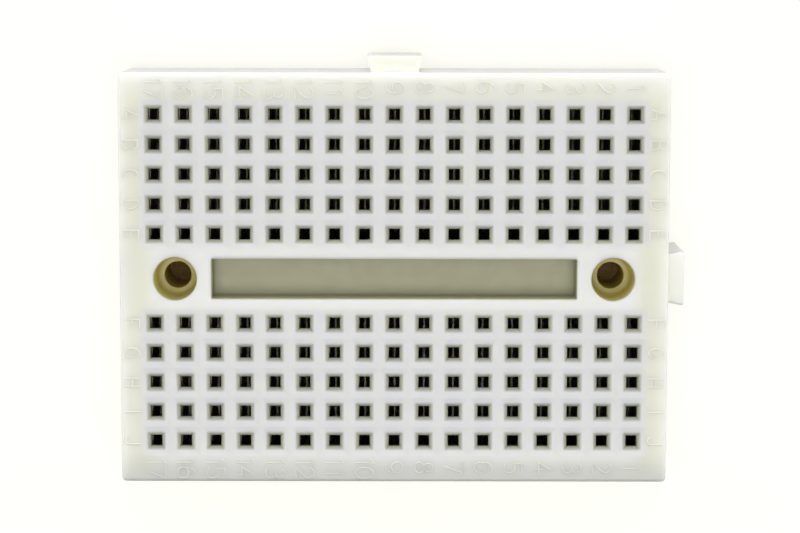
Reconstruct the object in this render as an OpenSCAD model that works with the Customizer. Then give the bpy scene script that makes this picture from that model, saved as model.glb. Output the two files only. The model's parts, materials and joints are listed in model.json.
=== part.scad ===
// Solderless breadboard with two blocks of tie points and a centre ravine. Millimetres.
// Origin: centre of the underside. +X runs along the long side, +Z points out of the top face.

/* [Tie-point grid] */
// Distance between neighbouring tie points
pitch = 2.54; // [2.5:0.01:2.6]
// Numbered columns, one contact clip per block in each
columns = 17; // [8:1:28]
// Tie points in a column of one block
rows = 5; // [3:1:6]
// From the board's centre line to the nearest row of a block
row_offset = 3.81; // [3.7:0.01:4.2]
// Width of the square hole that a lead goes into
tie_hole_w = 0.95; // [0.8:0.05:1.1]
// Width of the lead-in funnel at the top face
funnel_w = 1.62; // [1.5:0.02:1.8]
// Depth of the lead-in funnel
funnel_depth = 0.45; // [0.2:0.05:0.6]

/* [Housing] */
// Height of the moulded housing
housing_h = 8.5; // [8.2:0.1:9.5]
// From the outermost tie point to the housing's end, along X
end_margin = 2.98; // [2.9:0.01:4]
// From the outermost tie point to the housing's side, along Y
side_margin = 3.53; // [3.4:0.01:4]
// Radius of the upright corners
corner_r = 0.4; // [0.2:0.05:0.8]
// Radius of the top edge
top_edge_r = 0.35; // [0.2:0.05:0.6]
// Thickness of the roof over the contact channels
roof_t = 1.5; // [1.2:0.1:1.8]
// Thickness of the roof between the five holes of a channel
lead_t = 0.65; // [0.65:0.05:0.9]
// Width of a contact channel
channel_w = 1.9; // [1.8:0.05:2]
// Length that a contact channel has over the clip in it
channel_play = 0.24; // [0.1:0.02:0.4]

/* [Ravine] */
// Width of the ravine between the two blocks
ravine_w = 3.4; // [3:0.1:3.8]
// Depth of the ravine
ravine_depth = 2.5; // [1:0.1:4]
// From the housing's end to the end of the ravine
ravine_inset = 7.77; // [7.4:0.01:8.5]

/* [Screw holes] */
// From the housing's end to the centre of a screw hole
screw_inset = 4.7; // [4.5:0.05:5]
// Diameter of the screw's clearance hole
screw_hole_d = 2.3; // [2:0.1:2.6]
// Diameter of the recess for the screw's head
head_recess_d = 3.7; // [3.4:0.1:4]
// Depth of the recess for the screw's head
head_recess_depth = 3.1; // [2:0.1:4]

/* [Dovetails] */
// Width of a tab where it leaves the wall
tab_root_w = 4.1; // [3.6:0.1:4.6]
// Width of a tab at its outer face
tab_tip_w = 4.75; // [4.7:0.05:5.2]
// How far a tab stands out of the wall
tab_reach = 1.4; // [1:0.1:1.5]
// From the top face down to the top of a tab
tab_drop = 0.8; // [0.6:0.1:1.5]
// From the housing's underside up to the bottom of a tab
tab_lift = 0.2; // [0.1:0.1:1]
// Clearance between a tab and the socket of the next board
socket_play = 0.1; // [0.05:0.05:0.15]

/* [Contact clips] */
// Thickness of the spring sheet
sheet_t = 0.2; // [0.15:0.01:0.22]
// Gap between a clip and each side of its channel
clip_play = 0.05; // [0.03:0.01:0.1]
// Width of one leaf along the clip
leaf_w = 1.9; // [1.6:0.1:2]
// Height of the plain trough below the leaves
trough_h = 2.2; // [1.5:0.1:2.6]
// Height of the pinch line where two leaves meet
pinch_h = 4.9; // [4.2:0.1:5.2]
// Height of the flared leaf tips
tip_h = 6.7; // [6:0.1:6.8]
// Gap left between the two leaves at the pinch line
pinch_gap = 0.1; // [0.05:0.01:0.2]
// Opening between the two leaf tips
tip_gap = 0.95; // [0.8:0.05:1.1]
// Bend radius of the trough's corners, at mid sheet
bend_r = 0.35; // [0.2:0.05:0.5]

/* [Foam tape] */
// Thickness of the double-sided foam pad
foam_t = 0.9; // [0.5:0.1:1.5]
// Thickness of the release liner under the pad
liner_t = 0.1; // [0.1:0.05:0.2]
// How far the pad's edge lies inside the housing's edge, clear of the dovetail sockets
tape_inset = 1.6; // [1.6:0.05:1.8]
// Corner radius of the pad and the liner
tape_corner_r = 0.6; // [0.3:0.1:1]

/* [Hidden] */
$fn = 48;
// Clearance that lets one cut run past a face
past = 0.2;
grid_l = (columns - 1) * pitch;
grid_w = (rows - 1) * pitch;
housing_l = grid_l + 2 * end_margin;
housing_w = 2 * (row_offset + grid_w + side_margin);
tape_l = housing_l - 2 * tape_inset;
tape_w = housing_w - 2 * tape_inset;
base_z = liner_t + foam_t;
top_z = base_z + housing_h;
roof_z = top_z - roof_t;
block_y = row_offset + grid_w / 2;
clip_l = grid_w + leaf_w;
channel_l = clip_l + channel_play;
slot_w = tie_hole_w + 0.04;
slot_l = 4 * pitch + tie_hole_w + 0.2;
wall_x = channel_w / 2 - clip_play - sheet_t / 2;
bend_steps = 4;
BLOCKS = [["a_to_e", 1], ["f_to_j", -1]];

// A clip is named by its rows and by the number of its column, which counts from +X to -X
function clip_name(block, n) = str("contact_clip_", block[0], "_", n < 10 ? "0" : "", n);
function column_x(n) = grid_l / 2 - (n - 1) * pitch;

// Strip of even thickness along a bent centre line, with mitred bends
function direction(a, b) = (b - a) / norm(b - a);
function normal(d) = [-d[1], d[0]];
function mitre(d, e) = (normal(d) + normal(e)) / (1 + d * e);
function strip_offset(line, i) =
    let (last = len(line) - 1)
    let (before = direction(line[max(i - 1, 0)], line[max(i, 1)]))
    let (after = direction(line[min(i, last - 1)], line[min(i + 1, last)]))
    mitre(before, after);
function strip(line, thick) = concat(
    [for (i = [0 : len(line) - 1]) line[i] + strip_offset(line, i) * thick / 2],
    [for (i = [len(line) - 1 : -1 : 0]) line[i] - strip_offset(line, i) * thick / 2]
);

// Right half of the clip's section, from the web to a chosen height
trough_bend = [
    for (i = [0 : bend_steps])
        let (turn = 90 * i / bend_steps)
        [wall_x - bend_r * (1 - sin(turn)), sheet_t / 2 + bend_r * (1 - cos(turn))]
];
trough_half = concat(trough_bend, [[wall_x, trough_h]]);
leaf_half = concat(trough_half, [
    [(pinch_gap + sheet_t) / 2, pinch_h],
    [(tip_gap + sheet_t) / 2, tip_h]
]);
function both_halves(half) = concat(
    [for (i = [len(half) - 1 : -1 : 0]) [-half[i][0], half[i][1]]],
    half
);

// Prisms with their outline in the XZ plane and in the YZ plane
module prism_along_y(length) {
    rotate([90, 0, 0])
        linear_extrude(length, center = true)
            children();
}

module prism_along_x(length) {
    rotate([90, 0, 90])
        linear_extrude(length, center = true)
            children();
}

module rounded_rectangle(length, width, radius) {
    square([length - 2 * radius, width], center = true);
    square([length, width - 2 * radius], center = true);
    for (x = [-1, 1])
        for (y = [-1, 1])
            translate([x * (length / 2 - radius), y * (width / 2 - radius)])
                circle(radius);
}

// Upright section whose two top corners are round
module round_topped_section(width) {
    translate([-width / 2, base_z])
        square([width, housing_h - top_edge_r]);
    translate([-width / 2 + top_edge_r, base_z])
        square([width - 2 * top_edge_r, housing_h]);
    for (side = [-1, 1])
        translate([side * (width / 2 - top_edge_r), top_z - top_edge_r])
            circle(top_edge_r);
}

module housing_block() {
    intersection() {
        translate([0, 0, base_z])
            linear_extrude(housing_h)
                rounded_rectangle(housing_l, housing_w, corner_r);
        prism_along_y(housing_w + 2 * past)
            round_topped_section(housing_l);
        prism_along_x(housing_l + 2 * past)
            round_topped_section(housing_w);
    }
}

// Outline of a dovetail that grows from the wall at x = 0
module dovetail_outline(root, tip, reach, behind) {
    polygon([
        [-behind, -root / 2], [0, -root / 2], [reach, -tip / 2],
        [reach, tip / 2], [0, root / 2], [-behind, root / 2]
    ]);
}

module dovetail_tab() {
    translate([0, 0, base_z + tab_lift])
        linear_extrude(housing_h - tab_drop - tab_lift)
            dovetail_outline(tab_root_w, tab_tip_w, tab_reach, past);
}

// The socket is open at the housing's underside and closed above the tab
module dovetail_socket() {
    translate([0, 0, base_z - past])
        linear_extrude(housing_h - tab_drop + past + socket_play)
            dovetail_outline(
                tab_root_w + 2 * socket_play, tab_tip_w + 2 * socket_play,
                tab_reach + socket_play, past
            );
}

// Places a dovetail on the ends and sides of the housing
module on_end(side) {
    translate([side * housing_l / 2, 0, 0])
        children();
}

module on_side(side) {
    translate([0, side * housing_w / 2, 0])
        rotate([0, 0, 90])
            children();
}

module funnel_section() {
    polygon([
        [-tie_hole_w / 2, roof_z - past],
        [tie_hole_w / 2, roof_z - past],
        [tie_hole_w / 2, top_z - funnel_depth],
        [funnel_w / 2, top_z],
        [funnel_w / 2, top_z + past],
        [-funnel_w / 2, top_z + past],
        [-funnel_w / 2, top_z],
        [-tie_hole_w / 2, top_z - funnel_depth]
    ]);
}

// Square holes with square funnels, where slots along X cross slots along Y
module tie_points(side) {
    intersection() {
        for (n = [1 : columns])
            translate([column_x(n), side * block_y, 0])
                prism_along_y(grid_w + 2 * funnel_w)
                    funnel_section();
        for (row = [0 : rows - 1])
            translate([0, side * (row_offset + row * pitch), 0])
                prism_along_x(grid_l + 2 * funnel_w)
                    funnel_section();
    }
}

module contact_channels(side) {
    for (n = [1 : columns])
        translate([column_x(n) - channel_w / 2, side * block_y - channel_l / 2, base_z - past])
            cube([channel_w, channel_l, roof_z - base_z + past]);
    // Narrow slot over each channel, barely wider than the holes that open into it
    for (n = [1 : columns])
        translate([column_x(n) - slot_w / 2, side * block_y - slot_l / 2, roof_z - past])
            cube([slot_w, slot_l, top_z - lead_t - roof_z + past]);
}

module ravine() {
    ravine_l = housing_l - 2 * ravine_inset;
    translate([-ravine_l / 2, -ravine_w / 2, top_z - ravine_depth])
        cube([ravine_l, ravine_w, ravine_depth + past]);
}

module screw_hole() {
    translate([0, 0, base_z - past])
        cylinder(h = housing_h + 2 * past, d = screw_hole_d);
    translate([0, 0, top_z - head_recess_depth])
        cylinder(h = head_recess_depth + past, d = head_recess_d);
}

module housing() {
    color("ivory")
        difference() {
            union() {
                housing_block();
                on_end(1)
                    dovetail_tab();
                on_side(1)
                    dovetail_tab();
            }
            for (side = [-1, 1]) {
                tie_points(side);
                contact_channels(side);
                translate([side * (housing_l / 2 - screw_inset), 0, 0])
                    screw_hole();
            }
            ravine();
            on_end(-1)
                dovetail_socket();
            on_side(-1)
                dovetail_socket();
        }
}

// One stamped strip: a trough with a pair of leaves under each tie point
module contact_clip(side, n) {
    color("silver")
        translate([column_x(n), side * block_y, base_z]) {
            prism_along_y(clip_l)
                polygon(strip(both_halves(trough_half), sheet_t));
            for (row = [0 : rows - 1])
                translate([0, row * pitch - grid_w / 2, 0])
                    prism_along_y(leaf_w)
                        polygon(strip(both_halves(leaf_half), sheet_t));
        }
}

module foam_pad() {
    color("white")
        translate([0, 0, liner_t])
            linear_extrude(foam_t)
                rounded_rectangle(tape_l, tape_w, tape_corner_r);
}

module release_liner() {
    color("khaki")
        linear_extrude(liner_t)
            rounded_rectangle(tape_l, tape_w, tape_corner_r);
}

housing();
for (block = BLOCKS)
    for (n = [1 : columns])
        contact_clip(block[1], n);
foam_pad();
release_liner();
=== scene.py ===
"""Solderless breadboard: the looks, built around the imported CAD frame. Metres, +Z out of the top face."""

import json
import math

import bmesh
import bpy
from mathutils import Matrix, Vector, noise
from mathutils.geometry import delaunay_2d_cdt


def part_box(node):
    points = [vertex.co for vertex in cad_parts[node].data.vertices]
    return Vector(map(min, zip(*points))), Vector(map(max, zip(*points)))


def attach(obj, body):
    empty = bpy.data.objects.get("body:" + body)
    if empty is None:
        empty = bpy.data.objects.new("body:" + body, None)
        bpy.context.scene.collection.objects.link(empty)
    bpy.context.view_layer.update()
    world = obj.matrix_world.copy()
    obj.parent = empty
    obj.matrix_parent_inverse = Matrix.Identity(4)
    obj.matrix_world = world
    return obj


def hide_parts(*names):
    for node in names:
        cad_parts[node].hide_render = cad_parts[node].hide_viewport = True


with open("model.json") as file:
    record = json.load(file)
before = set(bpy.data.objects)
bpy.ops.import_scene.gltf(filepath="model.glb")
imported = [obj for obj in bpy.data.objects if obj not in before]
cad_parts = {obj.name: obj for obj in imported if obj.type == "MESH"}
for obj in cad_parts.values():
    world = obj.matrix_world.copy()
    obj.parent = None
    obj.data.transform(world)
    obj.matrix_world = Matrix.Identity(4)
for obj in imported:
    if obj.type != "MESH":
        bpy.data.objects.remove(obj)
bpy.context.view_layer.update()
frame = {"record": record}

MM = 0.001

# ---------------------------------------------------------------- sizes from the frame

BOARD = "board"
LINER = "release_liner"
BLOCKS = (("a_to_e", 1), ("f_to_j", -1))
COLUMNS = range(1, 18)
ROWS = range(5)
ROW_LETTERS = {"a_to_e": "EDCBA", "f_to_j": "FGHIJ"}


def clip_node(block, column):
    """The CAD node of the clip in a block and column."""
    return f"contact_clip_{block}_{column:02d}"


def middle(node):
    """The middle of a CAD node's box."""
    low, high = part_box(node)
    return (low + high) / 2


mounts = {mount["name"]: mount for mount in frame["record"]["mounts"]}
housing_low, housing_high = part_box("housing")
half_l = -housing_low.x
half_w = -housing_low.y
base_z = housing_low.z
top_z = housing_high.z
tab_reach = housing_high.x - half_l

column_x = {n: middle(clip_node("a_to_e", n)).x for n in COLUMNS}
pitch = column_x[1] - column_x[2]
block_y = middle(clip_node("a_to_e", 1)).y
clip_low, clip_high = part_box(clip_node("a_to_e", 1))
clip_half_l = (clip_high.y - clip_low.y) / 2
clip_half_w = (clip_high.x - clip_low.x) / 2
row_offset = block_y - 2 * pitch

screw_x = mounts["head_recess_plus_x"]["pos_m"][0]
recess_r = mounts["head_recess_plus_x"]["dims"]["r_mm"] * MM
recess_depth = mounts["head_recess_plus_x"]["dims"]["length_mm"] * MM
screw_r = mounts["screw_holes"]["dims"]["hole_r_mm"] * MM
tab_top = mounts["dovetail_tab_plus_x"]["pos_m"][2]

# ---------------------------------------------------------------- sizes the frame doesn't name

corner_r = 0.4 * MM
top_edge_r = 0.35 * MM
roof_z = top_z - 1.5 * MM
slot_z = top_z - 0.65 * MM

tie_half = 0.475 * MM
tie_corner_r = 0.05 * MM
funnel_half = 0.81 * MM
funnel_depth = 0.45 * MM
funnel_rim_r = 0.1 * MM
funnel_throat_r = 0.05 * MM
dish_half = 1.24 * MM
dish_depth = 0.04 * MM
dish_rim_r = 0.6 * MM

channel_half_w = 0.95 * MM
slot_half_w = tie_half + 0.02 * MM
channel_half_l = clip_half_l + 0.12 * MM
channel_roof_r = 0.15 * MM
channel_corner_r = 0.18 * MM
slot_half_l = 2 * pitch + tie_half + 0.1 * MM
slot_corner_r = 0.08 * MM

ravine_half_l = half_l - 7.77 * MM
ravine_half_w = 1.7 * MM
ravine_depth = 2.5 * MM
ravine_rim_r = 0.28 * MM
ravine_floor_r = 0.2 * MM
ravine_corner_r = 0.12 * MM

recess_rim_r = 0.16 * MM
recess_floor_r = 0.4 * MM
screw_rim_r = 0.06 * MM

tab_root = 2.05 * MM
tab_tip = 2.375 * MM
tab_bottom = base_z + 0.2 * MM
tab_root_r = 0.1 * MM
tab_edge_r = 0.22 * MM
tab_corner_r = 0.3 * MM

socket_play = 0.1 * MM
socket_mouth_r = 0.12 * MM
socket_corner_r = 0.15 * MM

sheet_t = 0.2 * MM
leaf_half_w = clip_half_l - 2 * pitch
trough_h = 2.2 * MM
pinch_h = 4.9 * MM
tip_h = clip_high.z - base_z
pinch_gap = 0.1 * MM
tip_gap = 0.95 * MM
trough_r = 0.35 * MM
shoulder_r = 1.2 * MM
pinch_r = 0.6 * MM
tip_round = 0.25 * MM
sheet_edge_r = 0.03 * MM
clip_shift = 0.04 * MM

tape_corner_r = 0.6 * MM
foam_edge_r = 0.08 * MM
paper_edge_r = 0.02 * MM
foam_spacing = 0.35 * MM
paper_spacing = 2 * MM
cut_roughness = 0.03 * MM


# ---------------------------------------------------------------- outlines and profiles


def rounded(path, radii, steps=4):
    """The path's inner corners turned into arcs, with the path's two end points left out."""
    points = []
    for before, corner, after, radius in zip(path, path[1:], path[2:], radii):
        corner = Vector(corner)
        into = (corner - Vector(before)).normalized()
        out = (Vector(after) - corner).normalized()
        turn = math.acos(max(-1.0, min(1.0, into.dot(out))))
        side = math.copysign(1.0, into.x * out.y - into.y * out.x)
        start = corner - into * (radius * math.tan(turn / 2))
        centre = start + Vector((-into.y, into.x)) * side * radius
        spoke = start - centre
        for i in range(steps + 1):
            angle = side * turn * i / steps
            points.append(centre + Matrix.Rotation(angle, 2) @ spoke)
    return points


def rectangle(half_x, half_y, corner, steps=3):
    """Rectangle with round corners, anticlockwise from the lower end of the +X side's upper corner."""
    points = []
    for quarter, (side_x, side_y) in enumerate(((1, 1), (-1, 1), (-1, -1), (1, -1))):
        for i in range(steps + 1):
            angle = math.radians(90) * (quarter + i / steps)
            points.append(
                Vector(
                    (
                        side_x * (half_x - corner) + corner * math.cos(angle),
                        side_y * (half_y - corner) + corner * math.sin(angle),
                    )
                )
            )
    return points


def circle(radius, count=48):
    """Points on a circle, anticlockwise from +X."""
    turns = (2 * math.pi * i / count for i in range(count))
    return [Vector((radius * math.cos(t), radius * math.sin(t))) for t in turns]


class Shell:
    """A closed mesh made from rings, walls between rings, and flat faces with openings."""

    def __init__(self):
        self.bm = bmesh.new()

    def ring(self, points):
        """New vertices at the points."""
        return [self.bm.verts.new(p) for p in points]

    def wall(self, lower, upper, closed=True):
        """Faces between two rings with the same number of vertices."""
        count = len(lower)
        for i in range(count if closed else count - 1):
            j = (i + 1) % count
            self.bm.faces.new((lower[i], lower[j], upper[j], upper[i]))

    def sweep(self, outline, profile, place):
        """Walls through the outline at each (offset, height) of the profile. Returns the end rings."""
        rings = [
            self.ring([place(p.x, p.y, height) for p in outline(offset)])
            for offset, height in profile
        ]
        for lower, upper in zip(rings, rings[1:]):
            self.wall(lower, upper)
        return rings[0], rings[-1]

    def flat(self, rings, facing):
        """A flat face across the axis facing, bounded by the first ring, open at the others."""
        across, up = [axis for axis in range(3) if axis != facing]
        corners, loops = [], []
        for ring in rings:
            loops.append(range(len(corners), len(corners) + len(ring)))
            corners += ring
        points = [Vector((v.co[across], v.co[up])) / MM for v in corners]
        made = delaunay_2d_cdt(points, [], loops, 2, 1e-7)
        for face in made[2]:
            self.bm.faces.new([corners[made[3][i][0]] for i in face])

    def mesh(self, name, sharp_angle=40):
        """The finished mesh, facing out, smooth but for edges over the angle in degrees."""
        bmesh.ops.recalc_face_normals(self.bm, faces=self.bm.faces)
        mesh = bpy.data.meshes.new(name)
        self.bm.to_mesh(mesh)
        self.bm.free()
        smooth(mesh, sharp_angle)
        return mesh


def smooth(mesh, sharp_angle):
    """Smooth shading, with edges over the angle in degrees kept sharp."""
    for face in mesh.polygons:
        face.use_smooth = True
    mesh.set_sharp_from_angle(angle=math.radians(sharp_angle))


def piece(name, mesh, body, material, node=None):
    """A new object on a CAD body, standing for a CAD node if one is named."""
    made = bpy.data.objects.new(name, mesh)
    bpy.context.scene.collection.objects.link(made)
    if not mesh.materials:
        mesh.materials.append(material)
    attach(made, body)
    if node:
        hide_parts(node)
    return made


def keep_faces_flat(made):
    """Shading that leaves large flat faces flat beside their rounded edges."""
    made.modifiers.new("flat_faces_stay_flat", "WEIGHTED_NORMAL").keep_sharp = True


# ---------------------------------------------------------------- housing


def tie_point(shell, x, y):
    """A square funnel over a square hole. Returns its rings on the top face and on the slot's roof."""
    corner_growth = 0.3
    path = [
        (dish_half * 2, top_z),
        (dish_half - tie_half, top_z),
        (funnel_half - tie_half, top_z - dish_depth),
        (0, top_z - funnel_depth),
        (0, slot_z),
    ]
    profile = rounded(path, (dish_rim_r, funnel_rim_r, funnel_throat_r)) + [(0, slot_z)]
    return shell.sweep(
        lambda offset: rectangle(
            tie_half + offset, tie_half + offset, tie_corner_r + corner_growth * offset
        ),
        profile,
        lambda u, v, z: (x + u, y + v, z),
    )


def contact_channel(shell, x, side):
    """The channel of one clip with its tie points. Returns the mouth and the tie points' top rings."""

    def place(u, v, z):
        return (x + u, side * block_y + v, z)

    path = [(0, base_z), (0, roof_z), (-channel_half_w, roof_z)]
    mouth, ceiling = shell.sweep(
        lambda offset: rectangle(
            channel_half_w + offset, channel_half_l + offset, channel_corner_r
        ),
        [(0, base_z)] + rounded(path, (channel_roof_r,)),
        place,
    )
    slot, slot_roof = shell.sweep(
        lambda offset: rectangle(slot_half_w, slot_half_l, slot_corner_r),
        [(0, roof_z), (0, slot_z)],
        place,
    )
    shell.flat([ceiling, slot], 2)
    tops, roofs = zip(
        *(tie_point(shell, x, side * (row_offset + row * pitch)) for row in ROWS)
    )
    shell.flat([slot_roof, *roofs], 2)
    return mouth, tops


def ravine(shell):
    """The long recess between the blocks. Returns its ring on the top face."""
    floor_z = top_z - ravine_depth
    reach = ravine_half_w
    sharpest_corner = 0.5 * ravine_corner_r
    path = [(reach, top_z), (0, top_z), (0, floor_z), (-reach, floor_z)]
    rim, floor = shell.sweep(
        lambda offset: rectangle(
            ravine_half_l + offset,
            ravine_half_w + offset,
            max(ravine_corner_r + offset, sharpest_corner),
            steps=4,
        ),
        rounded(path, (ravine_rim_r, ravine_floor_r), steps=5),
        lambda u, v, z: (u, v, z),
    )
    shell.flat([floor], 2)
    return rim


def screw_hole(shell, x):
    """A stepped hole right through. Returns its rings on the top face and on the underside."""
    step_z = top_z - recess_depth
    path = [
        (2 * recess_r, top_z),
        (recess_r, top_z),
        (recess_r, step_z),
        (screw_r, step_z),
        (screw_r, base_z),
    ]
    profile = rounded(path, (recess_rim_r, recess_floor_r, screw_rim_r))
    return shell.sweep(
        circle, profile + [(screw_r, base_z)], lambda u, v, z: (x + u, v, z)
    )


def dovetail_tab(shell, place):
    """A tab that grows from a wall. Returns its root and its outer face's ring.

    place takes (along the wall, height, way out).
    """
    half_h = (tab_top - tab_bottom) / 2
    mid_z = (tab_top + tab_bottom) / 2
    path = [(-tab_tip, 0), (0, 0), (0, tab_reach), (tab_tip, tab_reach)]
    rings = []
    for inset, out in rounded(path, (tab_root_r, tab_edge_r)):
        half = tab_root + (tab_tip - tab_root) * out / tab_reach - inset
        outline = rectangle(half, half_h - inset, tab_corner_r - inset, steps=4)
        rings.append(shell.ring([place(p.x, mid_z + p.y, out) for p in outline]))
    for lower, upper in zip(rings, rings[1:]):
        shell.wall(lower, upper)
    return rings[0], rings[-1]


def dovetail_socket(shell, place):
    """A socket open at the underside. Returns its lower and upper rims.

    place takes (along the wall, depth, height).
    """
    mouth = tab_root + socket_play
    inner = tab_tip + socket_play
    depth = tab_reach + socket_play
    path = [
        (-2 * mouth, 0),
        (-mouth, 0),
        (-inner, depth),
        (inner, depth),
        (mouth, 0),
        (2 * mouth, 0),
    ]
    radii = (socket_mouth_r, socket_corner_r, socket_corner_r, socket_mouth_r)
    outline = rounded(path, radii)
    lower = shell.ring([place(u, v, base_z) for u, v in outline])
    upper = shell.ring([place(u, v, tab_top + socket_play) for u, v in outline])
    shell.wall(lower, upper, closed=False)
    shell.flat([upper], 2)
    return lower, upper


def housing_mesh():
    """The moulded housing: top face, edges, walls, underside and every hole in them."""
    shell = Shell()
    tops, mouths = [], []
    for _, side in BLOCKS:
        for x in column_x.values():
            mouth, rims = contact_channel(shell, x, side)
            mouths.append(mouth)
            tops += rims
    tops.append(ravine(shell))
    for x in (-screw_x, screw_x):
        top_ring, under_ring = screw_hole(shell, x)
        tops.append(top_ring)
        mouths.append(under_ring)

    # The rounded top edge, then upright corners down to the underside
    steps = 5
    path = [(-half_w, top_z), (0, top_z), (0, base_z)]
    edge_profile = rounded(path, (top_edge_r,), steps=6)
    top_outline, edge = shell.sweep(
        lambda inset: rectangle(
            half_l + inset, half_w + inset, corner_r + inset, steps
        ),
        edge_profile,
        lambda u, v, z: (u, v, z),
    )
    foot = shell.ring([(v.co.x, v.co.y, base_z) for v in edge])
    arcs = [slice(i * (steps + 1), (i + 1) * (steps + 1)) for i in range(4)]
    for arc in arcs:
        shell.wall(foot[arc], edge[arc], closed=False)
    shell.flat([top_outline, *tops], 2)

    # Tabs on +X and +Y. Each wall face runs from one corner's arc to the next
    end_root, end_tip = dovetail_tab(shell, lambda u, z, out: (half_l + out, u, z))
    side_root, side_tip = dovetail_tab(shell, lambda u, z, out: (-u, half_w + out, z))
    shell.flat([end_tip], 0)
    shell.flat([side_tip], 1)
    plus_x = [edge[arcs[3]][-1], edge[arcs[0]][0], foot[arcs[0]][0], foot[arcs[3]][-1]]
    plus_y = [edge[arcs[0]][-1], edge[arcs[1]][0], foot[arcs[1]][0], foot[arcs[0]][-1]]
    shell.flat([plus_x, end_root], 0)
    shell.flat([plus_y, side_root], 1)

    # Sockets on -X and -Y
    end_low, end_high = dovetail_socket(shell, lambda u, v, z: (-half_l + v, -u, z))
    side_low, side_high = dovetail_socket(shell, lambda u, v, z: (u, -half_w + v, z))
    for low, high, before, after, facing in (
        (end_low, end_high, arcs[1], arcs[2], 0),
        (side_low, side_high, arcs[2], arcs[3], 1),
    ):
        start, end = foot[before][-1], foot[after][0]
        notch = [start, low[0], high[0], high[-1], low[-1], end]
        shell.flat([notch + [edge[after][0], edge[before][-1]]], facing)

    under = foot[arcs[0]] + foot[arcs[1]] + end_low + foot[arcs[2]] + side_low + foot[arcs[3]]
    shell.flat([under, *mouths], 2)
    return shell.mesh("housing_shell")


# ---------------------------------------------------------------- raised index marks


def arc(x, y, radius_x, radius_y, start, end, steps=10):
    """Points on an ellipse's arc, in degrees anticlockwise from +X."""
    turns = (math.radians(start + (end - start) * i / steps) for i in range(steps + 1))
    return [(x + radius_x * math.cos(t), y + radius_y * math.sin(t)) for t in turns]


# Plain strokes in a box 1 high, with its middle at the origin. The step to the next
# character is glyph_advance, as a share of the height
GLYPHS = {
    "0": [arc(0, 0, 0.3, 0.5, 0, 360, 24)],
    "1": [[(-0.14, 0.34), (0.04, 0.5), (0.04, -0.5)]],
    "2": [arc(0, 0.2, 0.28, 0.3, 165, -35) + [(-0.29, -0.5), (0.3, -0.5)]],
    "3": [arc(0, 0.24, 0.26, 0.26, 150, -90) + arc(0, -0.26, 0.3, 0.27, 80, -150)],
    "4": [[(0.12, -0.5), (0.12, 0.5), (-0.3, -0.2), (0.3, -0.2)]],
    "5": [
        [(0.26, 0.5), (-0.22, 0.5), (-0.25, 0.05)]
        + arc(0, -0.18, 0.3, 0.32, 125, -150)
    ],
    "6": [arc(0.04, 0.0, 0.34, 0.5, 65, 180) + arc(0, -0.18, 0.3, 0.32, 180, 540, 20)],
    "7": [[(-0.3, 0.5), (0.3, 0.5), (-0.08, -0.5)]],
    "8": [arc(0, 0.25, 0.24, 0.25, -90, 270, 18), arc(0, -0.25, 0.3, 0.27, 90, 450, 18)],
    "9": [arc(-0.04, 0.0, 0.34, 0.5, 245, 360) + arc(0, 0.18, 0.3, 0.32, 0, 360, 20)],
    "A": [[(-0.32, -0.5), (0, 0.5), (0.32, -0.5)], [(-0.2, -0.16), (0.2, -0.16)]],
    "B": [
        [(-0.27, -0.5), (-0.27, 0.5)] + arc(0.02, 0.26, 0.24, 0.24, 90, -90) + [(-0.27, 0.02)],
        [(0.02, 0.02)] + arc(0.04, -0.24, 0.26, 0.26, 90, -90) + [(-0.27, -0.5)],
    ],
    "C": [arc(0.02, 0, 0.32, 0.5, 50, 310, 16)],
    "D": [[(-0.27, -0.5), (-0.27, 0.5)] + arc(-0.06, 0, 0.36, 0.5, 90, -90, 14) + [(-0.27, -0.5)]],
    "E": [[(0.27, 0.5), (-0.26, 0.5), (-0.26, -0.5), (0.28, -0.5)], [(-0.26, 0.02), (0.2, 0.02)]],
    "F": [[(0.28, 0.5), (-0.26, 0.5), (-0.26, -0.5)], [(-0.26, 0.02), (0.2, 0.02)]],
    "G": [arc(0.0, 0, 0.32, 0.5, 50, 340, 16) + [(0.3, -0.02), (0.06, -0.02)]],
    "H": [[(-0.27, 0.5), (-0.27, -0.5)], [(0.27, 0.5), (0.27, -0.5)], [(-0.27, 0), (0.27, 0)]],
    "I": [[(0, 0.5), (0, -0.5)]],
    "J": [[(0.2, 0.5), (0.2, -0.22)] + arc(-0.04, -0.22, 0.24, 0.28, 0, -165)],
}

glyph_advance = 0.62
number_y = half_w - 1.25 * MM
letter_x = half_l - 1.0 * MM
digit_h = 1.54 * MM
letter_h = 1.3 * MM
stroke_half_w = 0.06 * MM
stroke_h = 0.035 * MM
stroke_root = 0.03 * MM
# Cross-section of a raised stroke as shares of its half width and height
STROKE_SECTION = ((-1, 0), (-0.72, 0.6), (-0.28, 0.96), (0.28, 0.96), (0.72, 0.6), (1, 0))


def raised_stroke(shell, points):
    """A low rounded ridge along the points, closed at its ends and rooted in the top face."""
    same_place = 1e-9
    least_turn = 0.5
    points = [Vector(p) for p in points]
    closed = (points[0] - points[-1]).length < same_place
    if closed:
        points = points[:-1]
    count = len(points)
    rings = []
    for i, point in enumerate(points):
        before = points[i - 1] if i or closed else point
        after = points[(i + 1) % count] if i < count - 1 or closed else point
        into = (point - before).normalized() if before != point else None
        out = (after - point).normalized() if after != point else None
        along = ((into or out) + (out or into)).normalized()
        stretch = 1 / max(least_turn, along.dot(out or into))
        across = Vector((-along.y, along.x)) * stroke_half_w * stretch
        ridge = [
            (*(point + across * u), top_z + stroke_h * v) for u, v in STROKE_SECTION
        ]
        root = [(*(point + across * u), top_z - stroke_root) for u in (1, -1)]
        rings.append(shell.ring(ridge + root))
    for i in range(count if closed else count - 1):
        shell.wall(rings[i], rings[(i + 1) % count])
    if not closed:
        shell.bm.faces.new(rings[0])
        shell.bm.faces.new(reversed(rings[-1]))


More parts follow.
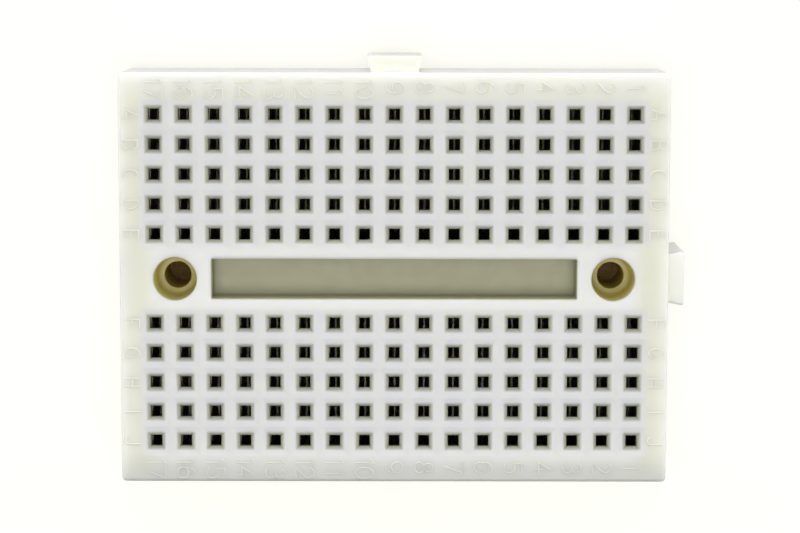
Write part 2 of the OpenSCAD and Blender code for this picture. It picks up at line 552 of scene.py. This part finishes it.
def raised_text(shell, text, x, y, height):
    """Characters read from +Y towards -Y, with their tops towards +X."""
    advance = glyph_advance * height
    for i, character in enumerate(text):
        drop = ((len(text) - 1) / 2 - i) * advance
        for stroke in GLYPHS[character]:
            placed = [(x + v * height, y + drop - u * height) for u, v in stroke]
            raised_stroke(shell, placed)


def index_marks_mesh():
    """Column numbers along both long sides and row letters along both ends."""
    shell = Shell()
    for n, x in column_x.items():
        for side in (1, -1):
            raised_text(shell, str(n), x, side * number_y, digit_h)
    for block, side in BLOCKS:
        for row, letter in enumerate(ROW_LETTERS[block]):
            for end in (1, -1):
                y = side * (row_offset + row * pitch)
                raised_text(shell, letter, end * letter_x, y, letter_h)
    return shell.mesh("index_marks", sharp_angle=60)


# ---------------------------------------------------------------- contact clip

# Where a leaf is cut across its width, as shares of its half width
LEAF_STATIONS = (-1, -0.5, 0.5, 1)
STATIONS_PER_LEAF = len(LEAF_STATIONS)


def clip_mesh():
    """One stamped strip, in its own frame: X across, Y along, Z up from the web's underside."""
    tip_drop = 0.05 * MM
    wall_x = clip_half_w - sheet_t / 2
    web_z = sheet_t / 2
    pinch_x = (pinch_gap + sheet_t) / 2
    tip_x = (tip_gap + sheet_t) / 2
    path = [
        (-wall_x, web_z),
        (wall_x, web_z),
        (wall_x, trough_h),
        (pinch_x, pinch_h),
        (tip_x, tip_h),
    ]
    bend_steps = 6
    bends = rounded(path, (trough_r, shoulder_r, pinch_r), steps=bend_steps)
    # The leaves part from each other at the first point above the trough's bend
    parting = bend_steps + 2
    trough = [Vector((0, web_z))] + bends[:parting]
    tip = Vector((tip_x, tip_h - tip_drop))
    lean = (tip - bends[-1]).normalized()
    tip_steps = 4
    tip_squareness = 0.9
    leaf = bends[parting:]
    insets = [0.0] * len(leaf)
    for i in range(tip_steps + 1):
        angle = math.radians(90) * i / tip_steps
        leaf.append(tip - lean * tip_round * (1 - math.sin(angle)))
        insets.append(tip_round * (1 - math.cos(angle)) * tip_squareness)

    bm = bmesh.new()
    # Stations along the strip: four across each leaf, with a gap before the next leaf
    stations = []
    for row in ROWS:
        centre = (row - 2) * pitch
        for share in LEAF_STATIONS:
            stations.append((centre, share * leaf_half_w))

    def strand(x, z, inset):
        made = []
        for centre, along in stations:
            pulled = math.copysign(max(abs(along) - inset, 0), along)
            y = centre + (pulled if abs(along) == leaf_half_w else along * pulled / along)
            made.append(bm.verts.new((x, y, z)))
        return made

    for side in (1, -1):
        strands = [strand(side * p.x, p.y, 0) for p in trough]
        for lower, upper in zip(strands, strands[1:]):
            for i in range(len(stations) - 1):
                bm.faces.new((lower[i], lower[i + 1], upper[i + 1], upper[i]))
        last = strands[-1]
        for p, inset in zip(leaf, insets):
            upper = strand(side * p.x, p.y, inset)
            for i in range(len(stations) - 1):
                if i % STATIONS_PER_LEAF != STATIONS_PER_LEAF - 1:
                    bm.faces.new((last[i], last[i + 1], upper[i + 1], upper[i]))
            last = upper
    bmesh.ops.remove_doubles(bm, verts=bm.verts, dist=1e-7)
    loose = [v for v in bm.verts if not v.link_faces]
    bmesh.ops.delete(bm, geom=loose, context="VERTS")
    bmesh.ops.recalc_face_normals(bm, faces=bm.faces)
    mesh = bpy.data.meshes.new("contact_clip")
    bm.to_mesh(mesh)
    bm.free()

    # Sheet thickness and broken edges, made once and shared by all the clips
    sheet = bpy.data.objects.new("clip_sheet", mesh)
    bpy.context.scene.collection.objects.link(sheet)
    thick = sheet.modifiers.new("thickness", "SOLIDIFY")
    thick.thickness = sheet_t
    thick.offset = 0
    thick.use_even_offset = True
    edges = sheet.modifiers.new("edges", "BEVEL")
    edges.width = sheet_edge_r
    edges.segments = 2
    edges.limit_method = "ANGLE"
    edges.angle_limit = math.radians(60)
    ready = sheet.evaluated_get(bpy.context.evaluated_depsgraph_get())
    made = bpy.data.meshes.new_from_object(ready)
    bpy.data.objects.remove(sheet)
    made.name = "contact_clip"
    smooth(made, 50)
    return made


# ---------------------------------------------------------------- foam tape and liner


def slab_mesh(name, node, edge_r, spacing, roughen, levels=1):
    """A flat slab in a node's box, with soft edges and a fine irregular cut along its sides."""
    coarse, fine = 2.3, 6.1
    low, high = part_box(node)
    half_x, half_y = high.x, high.y
    mid_z = (low.z + high.z) / 2
    half_z = (high.z - low.z) / 2
    outline = []
    plain = rectangle(half_x, half_y, tape_corner_r, steps=8)
    for start, end in zip(plain, plain[1:] + plain[:1]):
        pieces = max(1, round((end - start).length / spacing))
        outline += [start.lerp(end, i / pieces) for i in range(pieces)]
    path = [(-half_z * 2, -half_z), (0, -half_z), (0, half_z), (-half_z * 2, half_z)]
    bends = rounded(path, (edge_r, edge_r), steps=3)
    half = len(bends) // 2
    sides = [bends[half - 1].lerp(bends[half], i / levels) for i in range(1, levels)]
    shell = Shell()
    rings = []
    for offset, z in bends[:half] + sides + bends[half:]:
        ring = []
        for p in outline:
            inward = -p.normalized()
            seed = Vector((p.x, p.y, z)) / MM
            cut = roughen * (noise.noise(seed * coarse) + 0.6 * noise.noise(seed * fine) + 1)
            at = p * (1 + offset / max(abs(p.x), abs(p.y))) + inward * cut
            ring.append((at.x, at.y, mid_z + z))
        rings.append(shell.ring(ring))
    for lower, upper in zip(rings, rings[1:]):
        shell.wall(lower, upper)
    shell.flat([rings[0]], 2)
    shell.flat([rings[-1]], 2)
    return shell.mesh(name, sharp_angle=50)


# ---------------------------------------------------------------- materials


class Paint:
    """A node material that is written as nested calls."""

    def __init__(self, name):
        self.material = bpy.data.materials.new(name)
        self.material.use_nodes = True
        self.tree = self.material.node_tree
        self.shader = self.tree.nodes["Principled BSDF"]
        self.here = self.node("ShaderNodeTexCoord").outputs["Object"]

    def node(self, kind, inputs=(), **settings):
        """A new node with its settings and its input values or links."""
        made = self.tree.nodes.new(kind)
        for key, value in settings.items():
            setattr(made, key, value)
        for socket, value in dict(inputs).items():
            self.put(made.inputs[socket], value)
        return made

    def put(self, socket, value):
        """Links a socket or sets a constant."""
        if isinstance(value, bpy.types.NodeSocket):
            self.tree.links.new(value, socket)
        else:
            socket.default_value = value

    def set(self, **values):
        """Values for the shader's own sockets, with _ for a space in their names."""
        for key, value in values.items():
            self.put(self.shader.inputs[key.replace("_", " ")], value)

    def math(self, operation, *values):
        """A sum or comparison of numbers and sockets."""
        made = self.node("ShaderNodeMath", operation=operation)
        for socket, value in zip(made.inputs, values):
            self.put(socket, value)
        return made.outputs[0]

    def split(self):
        """The object's X, Y and Z as three sockets."""
        parts = self.node("ShaderNodeSeparateXYZ", {0: self.here})
        return parts.outputs

    def ramp(self, value, low, high, start=0.0, end=1.0):
        """A smooth step of value from low to high."""
        made = self.node("ShaderNodeMapRange", interpolation_type="SMOOTHSTEP")
        for socket, number in zip(made.inputs, (value, low, high, start, end)):
            self.put(socket, number)
        return made.outputs[0]

    def grain(self, size, detail=2.0, stretch=(1, 1, 1)):
        """Noise with features of about size metres, from 0 to 1."""
        scaled = self.node("ShaderNodeMapping", {"Vector": self.here, "Scale": stretch})
        made = self.node(
            "ShaderNodeTexNoise",
            {"Vector": scaled.outputs[0], "Scale": 1 / size, "Detail": detail},
        )
        return made.outputs["Fac"]

    def mix(self, share, first, second, blend="MIX"):
        """Two colours blended by share. On this node 6, 7 and output 2 are the colour sockets."""
        made = self.node("ShaderNodeMix", data_type="RGBA", blend_type=blend)
        for number, value in ((0, share), (6, first), (7, second)):
            self.put(made.inputs[number], value)
        return made.outputs[2]

    def multiply(self, share, first, second):
        """The first colour filtered through the second by share."""
        return self.mix(share, first, second, "MULTIPLY")

    def blotches(self, size, first, second):
        """Soft patches of two nearly equal sRGB colours, about size metres across."""
        return self.mix(self.grain(size), colour(*first), colour(*second))

    def stops(self, value, *stops):
        """A colour ramp along depth. Each stop is a depth in metres and an sRGB colour."""
        made = self.node("ShaderNodeValToRGB", {0: value})
        while len(made.color_ramp.elements) < len(stops):
            made.color_ramp.elements.new(0.5)
        for stop, (level, tone) in zip(made.color_ramp.elements, stops):
            stop.position = level / (top_z - base_z)
            stop.color = colour(*tone)
        return made.outputs[0]

    def bump(self, height, depth, under=None):
        """A bump whose height runs from 0 to depth metres."""
        made = self.node("ShaderNodeBump", {"Height": height, "Distance": depth})
        if under:
            self.put(made.inputs["Normal"], under)
        return made.outputs[0]


def colour(red, green, blue):
    """An sRGB colour, 0 to 255, as the linear colour that a shader takes."""
    linear = []
    for value in (red, green, blue):
        share = value / 255
        linear.append(share / 12.92 if share <= 0.04045 else ((share + 0.055) / 1.055) ** 2.4)
    return (*linear, 1.0)


def front_edge(paint, y):
    """How near the -Y edge a point is, as the share of painted shade it gets there: from 0 a few
    millimetres in to nearly 1 at the edge.
    """
    return paint.ramp(y, -half_w + 0.2 * MM, -half_w + 3.2 * MM, start=0.95, end=0.0)


def plastic_material():
    """Slightly translucent ivory ABS, with painted light and shade in its colour: warmer and paler at its
    ends and +Y side, cooler over the clip channels, more grey along the -Y edge of the top, and olive deep
    in its recesses.
    """
    paint = Paint("ivory_abs")
    x, y, z = paint.split()
    off_x = paint.math("ABSOLUTE", x)
    off_y = paint.math("ABSOLUTE", y)

    # Painted shade: over the channels the roof is thin, and the light lost into the channels is painted in
    # as a cooler, more grey tone
    past_last_hole = 0.75 * MM
    roof_fade = 0.9 * MM
    edge_y = 2 * pitch + past_last_hole
    edge_x = 8 * pitch + past_last_hole
    off_block = paint.math("ABSOLUTE", paint.math("SUBTRACT", off_y, block_y))
    over_y = paint.ramp(off_block, edge_y, edge_y + roof_fade, start=1.0, end=0.0)
    over_x = paint.ramp(off_x, edge_x, edge_x + roof_fade, start=1.0, end=0.0)
    roof = paint.math("MULTIPLY", over_x, over_y)

    # Painted light: the ends and the +Y side, where light comes in through the walls, are painted warmer
    # than the middle, and paler again at their rims as a painted highlight
    full_warmth = 1.8 * MM
    near_end = paint.ramp(off_x, half_l - 3.4 * MM, half_l - full_warmth)
    near_lit_side = paint.ramp(y, half_w - 3.6 * MM, half_w - full_warmth)
    at_end = paint.ramp(off_x, half_l - 1.6 * MM, half_l + 0.1 * MM, start=1.0, end=0.35)
    at_side = paint.ramp(y, half_w - 3.4 * MM, half_w - 0.4 * MM, start=1.0, end=0.15)
    on_tab = paint.ramp(y, half_w + 0.1 * MM, half_w + 0.9 * MM, start=0.0, end=0.6)
    rim = paint.math("MAXIMUM", paint.math("MINIMUM", at_end, at_side), on_tab)
    lit_warmth = paint.math("MULTIPLY", paint.math("MAXIMUM", near_end, near_lit_side), rim)
    plain = paint.blotches(6 * MM, (236, 237, 231), (239, 239, 235))
    ivory = paint.blotches(5 * MM, (227, 227, 212), (231, 231, 217))
    thin = paint.blotches(4 * MM, (222, 223, 220), (227, 227, 224))

    # Painted shade: the top face turns more grey along its -Y edge, the side away from the light
    near_top = paint.ramp(z, top_z - 1.2 * MM, top_z - 0.3 * MM)
    front_shade_share = paint.math("MULTIPLY", front_edge(paint, y), near_top)
    solid = paint.mix(front_shade_share, paint.mix(lit_warmth, plain, ivory), colour(208, 209, 202))
    # Painted shade over the thin roof of the channels
    body = paint.mix(roof, solid, thin)

    # Painted shade: deep in the recesses the ivory is painted darker and olive, standing in for shade and
    # for light that has been through more plastic.
    # The outer walls and the sockets in them keep their own colour
    wall_in, wall_out = 2.1 * MM, 1.8 * MM
    inside_x = paint.ramp(off_x, half_l - wall_in, half_l - wall_out, start=1.0, end=0.0)
    inside_y = paint.ramp(off_y, half_w - wall_in, half_w - wall_out, start=1.0, end=0.0)
    inside = paint.math("MULTIPLY", inside_x, inside_y)
    depth = paint.math("DIVIDE", paint.math("SUBTRACT", top_z, z), top_z - base_z)
    hollow_shade = paint.stops(
        depth,
        (0.06 * MM, (255, 255, 255)),
        (0.3 * MM, (226, 227, 208)),
        (1.2 * MM, (214, 212, 172)),
        (2.4 * MM, (179, 177, 146)),
        (8.0 * MM, (112, 108, 78)),
    )
    screw_hole_shade = paint.stops(
        depth,
        (0.06 * MM, (255, 255, 255)),
        (1.2 * MM, (252, 246, 196)),
        (2.6 * MM, (248, 236, 144)),
        (3.1 * MM, (202, 188, 104)),
        (6.5 * MM, (176, 148, 58)),
    )

    # The screw holes lie past the ravine's ends, and their painted shade is warmer than that of the other
    # recesses
    clear, fade = 0.3 * MM, 0.3 * MM
    screw_from = ravine_half_l + 0.5 * MM
    screw_to = recess_r + clear
    at_screw_x = paint.ramp(off_x, screw_from, screw_from + fade)
    at_screw_y = paint.ramp(off_y, screw_to, screw_to + fade, start=1.0, end=0.0)
    at_screw = paint.math("MULTIPLY", at_screw_x, at_screw_y)
    # The painted shade and olive of the recesses, multiplied into the body's colour
    filtered = paint.multiply(inside, body, paint.mix(at_screw, hollow_shade, screw_hole_shade))

    # Slight sinks from moulding under the fine texture of the mould
    sinks = paint.bump(paint.grain(2.5 * MM, 1.0), 0.012 * MM)
    skin = paint.bump(paint.grain(0.09 * MM, 3.0), 0.0018 * MM, sinks)
    wear = paint.grain(0.8 * MM, 3.0)
    paint.set(
        Base_Color=filtered,
        Roughness=paint.ramp(wear, 0.25, 0.75, start=0.36, end=0.48),
        Normal=skin,
        IOR=1.53,
        Subsurface_Weight=1.0,
        Subsurface_Radius=(1.0, 0.97, 0.75),
        Subsurface_Scale=1.9 * MM,
    )
    return paint.material


def marks_material():
    """The housing's ivory for the thin raised strokes, too fine to need light inside them."""
    paint = Paint("ivory_marks")
    tone = paint.blotches(1.5 * MM, (231, 231, 222), (235, 235, 226))
    # Painted shade: the strokes turn more grey along the -Y edge, as the top face does there
    front_shade_share = front_edge(paint, paint.split()[1])
    paint.set(
        Base_Color=paint.mix(front_shade_share, tone, colour(212, 213, 206)),
        Roughness=paint.ramp(paint.grain(0.3 * MM), 0.3, 0.7, start=0.36, end=0.46),
        Normal=paint.bump(paint.grain(0.09 * MM, 3.0), 0.001 * MM),
        IOR=1.53,
    )
    return paint.material


def nickel_material():
    """Nickel plate on phosphor bronze, with faint rolling lines along the strip."""
    paint = Paint("nickel_plate")
    streaks = paint.grain(0.05 * MM, 2.0, stretch=(1, 0.06, 1))
    tone = paint.blotches(1.2 * MM, (152, 147, 136), (172, 168, 158))
    paint.set(
        Base_Color=tone,
        Metallic=1.0,
        Roughness=paint.ramp(streaks, 0.3, 0.7, start=0.2, end=0.34),
        Normal=paint.bump(streaks, 0.001 * MM),
    )
    return paint.material


def foam_material():
    """White closed-cell foam with fine cut cells and amber adhesive on its upper face, darkened to a brown
    painted shade where it shows at the foot of the screw holes.
    """
    cell = 0.14 * MM
    paint = Paint("foam_tape")
    cells = paint.node("ShaderNodeTexVoronoi", {"Vector": paint.here, "Scale": 1 / cell})
    pores = paint.ramp(cells.outputs["Distance"], 0.1, 0.55)
    cut = paint.mix(pores, colour(206, 204, 196), colour(236, 235, 229))
    # Amber adhesive, darkened as painted shade for where it shows at the foot of the screw holes
    glue_and_shade = paint.mix(pores, colour(118, 92, 34), colour(140, 112, 50))
    z = paint.split()[2]
    glue_and_shade_face = paint.ramp(z, base_z - 0.03 * MM, base_z - 0.01 * MM)
    paint.set(
        Base_Color=paint.mix(glue_and_shade_face, cut, glue_and_shade),
        Roughness=paint.ramp(paint.grain(0.6 * MM), 0.3, 0.7, start=0.55, end=0.8),
        Normal=paint.bump(pores, 0.03 * MM),
        Subsurface_Weight=0.4,
        Subsurface_Radius=(1.0, 1.0, 0.9),
        Subsurface_Scale=0.5 * MM,
    )
    return paint.material


def liner_material():
    """Glazed yellow release paper with faint fibres."""
    paint = Paint("release_paper")
    fibres = paint.grain(0.3 * MM, 3.0, stretch=(1, 0.3, 1))
    clouds = paint.grain(3 * MM, 3.0)
    tone = paint.mix(clouds, colour(222, 205, 150), colour(232, 218, 168))
    pale_fibres = paint.ramp(fibres, 0.35, 0.7, start=0.0, end=0.35)
    paint.set(
        Base_Color=paint.mix(pale_fibres, tone, colour(246, 238, 206)),
        Roughness=paint.ramp(fibres, 0.3, 0.7, start=0.45, end=0.6),
        Normal=paint.bump(fibres, 0.002 * MM),
    )
    return paint.material


# ---------------------------------------------------------------- the pieces

plastic = plastic_material()
housing = piece("housing_shell", housing_mesh(), BOARD, plastic, "housing")
keep_faces_flat(housing)
piece("index_marks", index_marks_mesh(), BOARD, marks_material())

nickel = nickel_material()
clip = clip_mesh()
for block, side in BLOCKS:
    for n in COLUMNS:
        node = clip_node(block, n)
        made = piece(f"spring_clip_{block}_{n:02d}", clip, BOARD, nickel, node)
        made.location = (column_x[n] + clip_shift, side * block_y, base_z)

foam = slab_mesh("foam_tape", "foam_pad", foam_edge_r, foam_spacing, cut_roughness, levels=6)
tape = piece("foam_tape", foam, BOARD, foam_material(), "foam_pad")
keep_faces_flat(tape)
paper = slab_mesh("liner_sheet", "release_liner", paper_edge_r, paper_spacing, 0.0)
sheet = piece("liner_sheet", paper, LINER, liner_material(), "release_liner")
keep_faces_flat(sheet)

# ---------------------------------------------------------------- floor, light and camera


def floor():
    """A white floor that shows bright but throws little light up, just below the liner."""
    size = 1.5
    glow = 0.76
    drop = 0.05 * MM
    bm = bmesh.new()
    bmesh.ops.create_grid(bm, x_segments=2, y_segments=2, size=size)
    mesh = bpy.data.meshes.new("floor")
    bm.to_mesh(mesh)
    bm.free()
    paint = Paint("white_sweep")
    tone = paint.mix(paint.grain(0.2), (0.3, 0.3, 0.28, 1), (0.31, 0.31, 0.289, 1))
    seen = paint.node("ShaderNodeLightPath").outputs["Is Camera Ray"]
    shown = paint.math("MULTIPLY", seen, glow)
    paint.set(Base_Color=tone, Roughness=0.9, Specular_IOR_Level=0.0)
    paint.set(Emission_Color=(1.0, 1.0, 0.94, 1.0), Emission_Strength=shown)
    mesh.materials.append(paint.material)
    made = bpy.data.objects.new("floor", mesh)
    made.location.z = -drop
    bpy.context.scene.collection.objects.link(made)


def soft_light(name, place, target, size, power):
    """A rectangular light of the given size and watts at place, turned to face the target."""
    data = bpy.data.lights.new(name, "AREA")
    data.shape = "RECTANGLE"
    data.size, data.size_y = size
    data.energy = power
    light = bpy.data.objects.new(name, data)
    bpy.context.scene.collection.objects.link(light)
    light.location = place
    light.rotation_euler = (Vector(target) - Vector(place)).to_track_quat("-Z", "Y").to_euler()


def camera():
    """A long lens almost straight above the board, as in the photograph."""
    data = bpy.data.cameras.new("camera")
    data.lens = 110.0
    data.sensor_width = 36.0
    data.clip_start = 0.01
    data.clip_end = 10.0
    made = bpy.data.objects.new("camera", data)
    bpy.context.scene.collection.objects.link(made)
    made.location = (0.29 * MM, 26.75 * MM, top_z + 205.6 * MM)
    made.rotation_euler = (-0.12406, -0.00078, 0.00177)
    bpy.context.scene.camera = made


def surroundings():
    """A plain light tent, brighter on the +Y side."""
    dim, bright = 0.12, 0.68
    from_y, to_y = -0.8, 0.8
    scene = bpy.context.scene
    scene.view_settings.view_transform = "Standard"
    world = bpy.data.worlds.new("tent")
    world.use_nodes = True
    nodes, links = world.node_tree.nodes, world.node_tree.links
    tent = nodes["Background"]
    tent.inputs["Color"].default_value = (1.0, 1.0, 0.99, 1.0)
    way = nodes.new("ShaderNodeTexCoord")
    parts = nodes.new("ShaderNodeSeparateXYZ")
    fade = nodes.new("ShaderNodeMapRange")
    for number, value in ((1, from_y), (2, to_y), (3, dim), (4, bright)):
        fade.inputs[number].default_value = value
    links.new(way.outputs["Generated"], parts.inputs[0])
    links.new(parts.outputs["Y"], fade.inputs[0])
    links.new(fade.outputs[0], tent.inputs["Strength"])
    scene.world = world


floor()
surroundings()
board_foot = (0.0, 0.0, 0.0)
board_waist = (0.0, 0.0, 0.005)
soft_light("overhead_softbox", (0.0, -0.05, 0.42), board_foot, (0.35, 0.3), 1.02)
soft_light("back_strip", (0.0, 0.4, 0.02), board_waist, (0.4, 0.03), 1.0)
for side in (1, -1):
    soft_light("side_strip", (side * 0.4, 0.03, 0.02), board_waist, (0.3, 0.03), 0.6)
camera()
